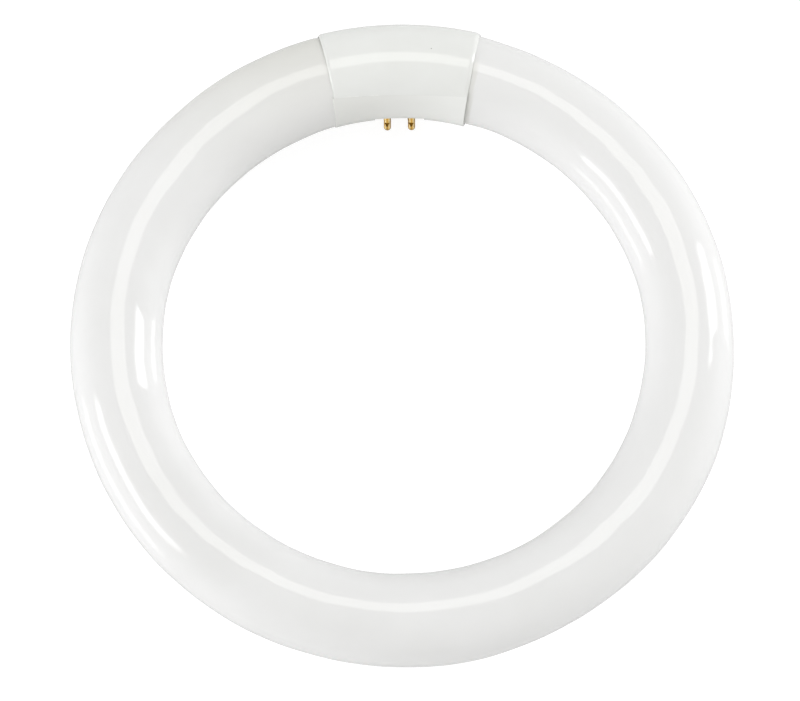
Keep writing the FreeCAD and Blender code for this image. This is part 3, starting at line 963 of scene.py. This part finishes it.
def white_table():
    """A table that differs for light, for the camera and for the mirror image in the glass."""
    material = bpy.data.materials.new("white_table")
    material.use_nodes = True
    tree = material.node_tree
    tree.nodes.clear()
    top = shader_node(tree, "ShaderNodeBsdfDiffuse", Color=TABLE_WHITE)
    lamp_below = shader_node(tree, "ShaderNodeEmission", Strength=TABLE_GLOW)
    lit = join_shaders(tree, "ShaderNodeAddShader", None, top, lamp_below)
    shade = shader_node(tree, "ShaderNodeBsdfDiffuse", Color=SEEN_SHADE)
    glow = shader_node(tree, "ShaderNodeEmission", Strength=SEEN_GLOW)
    seen = join_shaders(tree, "ShaderNodeAddShader", None, shade, glow)
    sheet = shader_node(tree, "ShaderNodeBsdfDiffuse", Color=MIRRORED_WHITE)
    through = shader_node(tree, "ShaderNodeBsdfTransparent")
    mirrored = join_shaders(tree, "ShaderNodeMixShader", CLEARNESS, sheet, through)
    by_camera = either_ray(tree, "Is Camera Ray", "Is Transmission Ray")
    lit_or_seen = join_shaders(tree, "ShaderNodeMixShader", by_camera, lit, seen)
    by_mirror = either_ray(tree, "Is Glossy Ray")
    surface = join_shaders(tree, "ShaderNodeMixShader", by_mirror, lit_or_seen, mirrored)
    output = tree.nodes.new("ShaderNodeOutputMaterial")
    tree.links.new(surface, output.inputs["Surface"])
    return material


table_mesh = bpy.data.meshes.new("table_top")
corners = [(x * TABLE_HALF, y * TABLE_HALF) for x, y in ((-1, -1), (1, -1), (1, 1), (-1, 1))]
table_mesh.from_pydata([(x, y, cad_low.z - TABLE_GAP) for x, y in corners], [], [(0, 1, 2, 3)])
table_top = bpy.data.objects.new("table_top", table_mesh)
bpy.context.scene.collection.objects.link(table_top)
dress(table_top, white_table())
print("table top at", round(table_top.data.vertices[0].co.z / MM, 3), "mm")

# %% [markdown]
# ## The white room
#
# White walls send light back from everywhere, but the two sides near the lamps send the most.
# An even grey world would light the ring alike all round and lose the soft shading along its flanks.
# So the room has a level that falls from front to back, and a second one along a line through both sides.
# Squaring the direction's share of that line gives the same light from both ends and none from between.
# The camera and the mirror images see plain white paper instead.

# %% Room
FRONT_LEVEL = 0.335               # from the side that faces the photographer
BACK_LEVEL = 0.140                # from the far side
SIDE_LEVEL = 1.68                 # added from both sides
SIDE_LINE = math.radians(20)      # the line from side to side is turned towards the two lamps there
FRONT_TINT = (1.0, 0.99, 0.90, 1)
SIDE_TINT = (0.995, 1.0, 1.03, 1)


def tinted_walls(tree, tint, strength):
    """A Background shader of one tint, whose strength varies with direction."""
    node = tree.nodes.new("ShaderNodeBackground")
    node.inputs["Color"].default_value = tint
    tree.links.new(strength, node.inputs["Strength"])
    return node.outputs[0]


def room_light(tree):
    """Light from front and back, and more from both sides."""
    direction = tree.nodes.new("ShaderNodeTexCoord").outputs["Generated"]
    parts = tree.nodes.new("ShaderNodeSeparateXYZ")
    tree.links.new(direction, parts.inputs[0])
    along_line = tree.nodes.new("ShaderNodeVectorMath")
    along_line.operation = "DOT_PRODUCT"
    along_line.inputs[1].default_value = (math.cos(SIDE_LINE), math.sin(SIDE_LINE), 0)
    tree.links.new(direction, along_line.inputs[0])
    squared = tree.nodes.new("ShaderNodeMath")
    squared.operation = "MULTIPLY"
    for socket in list(squared.inputs)[:2]:
        tree.links.new(along_line.outputs["Value"], socket)
    front = tinted_walls(tree, FRONT_TINT, spread(tree, parts.outputs["Y"], -1, 1, FRONT_LEVEL, BACK_LEVEL))
    sides = tinted_walls(tree, SIDE_TINT, spread(tree, squared.outputs[0], 0, 1, 0, SIDE_LEVEL))
    return join_shaders(tree, "ShaderNodeAddShader", None, front, sides)


world = bpy.data.worlds.new("white_room")
bpy.context.scene.world = world
world.use_nodes = True
room = world.node_tree
room.nodes.clear()
paper = shader_node(room, "ShaderNodeBackground", Strength=1.0)
seen = either_ray(room, "Is Camera Ray", "Is Glossy Ray", "Is Transmission Ray")
whole = join_shaders(room, "ShaderNodeMixShader", seen, room_light(room), paper)
room_output = room.nodes.new("ShaderNodeOutputWorld")
room.links.new(whole, room_output.inputs["Surface"])
print("room lit at", FRONT_LEVEL, "from the front and", SIDE_LEVEL, "from the sides")

# %% [markdown]
# ## Studio lamps
#
# The long bright stripe along the top of the ring is the mirror image of one large soft light overhead.
# Shorter streaks on the left and right of the ring are a light at the right and another at the front left.
# Each of those has a second streak beside it, from a strip light below the table.
# Those four streaks have soft sides, so their lamps fade towards the edges of their faces.
# Each lamp is placed by where the glass sees it: a bearing, an angle from overhead and two widths.
# An area lamp's power is spread over its face, so the power is worked out from the wanted brightness.

# %% Faded lamp faces
FADED_SHARES = {"X": 0.35, "Y": 0.85}     # of a faded lamp's half width and half height


def edge_fade(tree, position, share):
    """0 at both edges of a face, rising to 1 within a share of its half width. Positions run from 0 to 1."""
    fold = tree.nodes.new("ShaderNodeMath")
    fold.operation = "PINGPONG"
    fold.inputs[1].default_value = 0.5
    tree.links.new(position, fold.inputs[0])
    rise = spread(tree, fold.outputs[0], 0, 0.5 * share)
    rise.node.interpolation_type = "SMOOTHSTEP"
    return rise


def fade_lamp(lamp):
    """Lets a lamp's face fall off from its middle to its edges, as a cloth with one bulb behind it does."""
    lamp.use_nodes = True
    tree = lamp.node_tree
    face = tree.nodes.new("ShaderNodeNewGeometry")
    across = tree.nodes.new("ShaderNodeSeparateXYZ")
    tree.links.new(face.outputs["Parametric"], across.inputs[0])
    both = tree.nodes.new("ShaderNodeMath")
    both.operation = "MULTIPLY"
    for socket, (axis, share) in zip(both.inputs, FADED_SHARES.items()):
        tree.links.new(edge_fade(tree, across.outputs[axis], share), socket)
    tree.links.new(both.outputs[0], tree.nodes["Emission"].inputs["Strength"])


# %% Lamps
RING_CENTRE = Vector((0, 0, MIDDLE))
WATTS_FOR_WHITE = 4               # per square metre of face, for a brightness of 1
OVERHEAD_TINT = (1.0, 1.0, 0.955)


def soft_light(name, bearing, from_top, wide, tall, distance, brightness, tint=(1, 1, 1)):
    """A rectangular lamp that faces the ring and fills the given angles, in degrees, seen from there."""
    bearing = math.radians(bearing)
    from_top = math.radians(from_top)
    flat = math.sin(from_top)
    towards = Vector((flat * math.cos(bearing), flat * math.sin(bearing), math.cos(from_top)))
    lamp = bpy.data.lights.new(name, "AREA")
    lamp.shape = "RECTANGLE"
    lamp.color = tint
    lamp.size = 2 * distance * math.tan(math.radians(wide / 2))
    lamp.size_y = 2 * distance * math.tan(math.radians(tall / 2))
    lamp.energy = WATTS_FOR_WHITE * brightness * lamp.size * lamp.size_y
    holder = bpy.data.objects.new(name, lamp)
    bpy.context.scene.collection.objects.link(holder)
    holder.location = RING_CENTRE + towards * distance
    holder.rotation_euler = (-towards).to_track_quat("-Z", "Y").to_euler()
    print(f"{name}: {lamp.size:.2f} by {lamp.size_y:.2f} m, {lamp.energy:.1f} W")
    return holder


# Bearing, angle from overhead, width and height in degrees, then distance in metres and brightness
soft_light("overhead_light", 78.5, 17.4, 32, 23, 2.5, 1.74, OVERHEAD_TINT)
for side_light in (
    soft_light("right_light", 24, 63.4, 16.0, 34, 5.0, 7.0),
    soft_light("right_strip", 22, 106.2, 15.0, 27, 3.0, 4.9),
    soft_light("front_left_light", 194, 65.5, 37, 21.5, 1.2, 4.2),
    soft_light("front_left_strip", 193.5, 107.8, 39, 21, 1.2, 4.4),
):
    fade_lamp(side_light.data)

# %% [markdown]
# ## Camera
#
# The photograph looks down on the lamp from the side away from its base, 17 degrees off the vertical.
# The place, turn and lens below come from fitting both outlines of the ring.
# The long lens keeps the ring nearly free of perspective, as it is in the photograph.

# %% Camera
CAMERA_PLACE = (-12.71 * MM, -298.62 * MM, 976.30 * MM)
CAMERA_TURN = (17.081, -0.438, -0.836)
LENS = 142.2
SENSOR_WIDTH = 36
NEAREST_SEEN = 0.05

camera_data = bpy.data.cameras.new("studio_camera")
camera_data.lens = LENS
camera_data.sensor_width = SENSOR_WIDTH
camera_data.clip_start = NEAREST_SEEN
camera = bpy.data.objects.new("studio_camera", camera_data)
camera.location = CAMERA_PLACE
camera.rotation_euler = [math.radians(a) for a in CAMERA_TURN]
bpy.context.scene.collection.objects.link(camera)
bpy.context.scene.camera = camera
bpy.context.scene.view_settings.view_transform = "Standard"
print("camera at", CAMERA_PLACE)
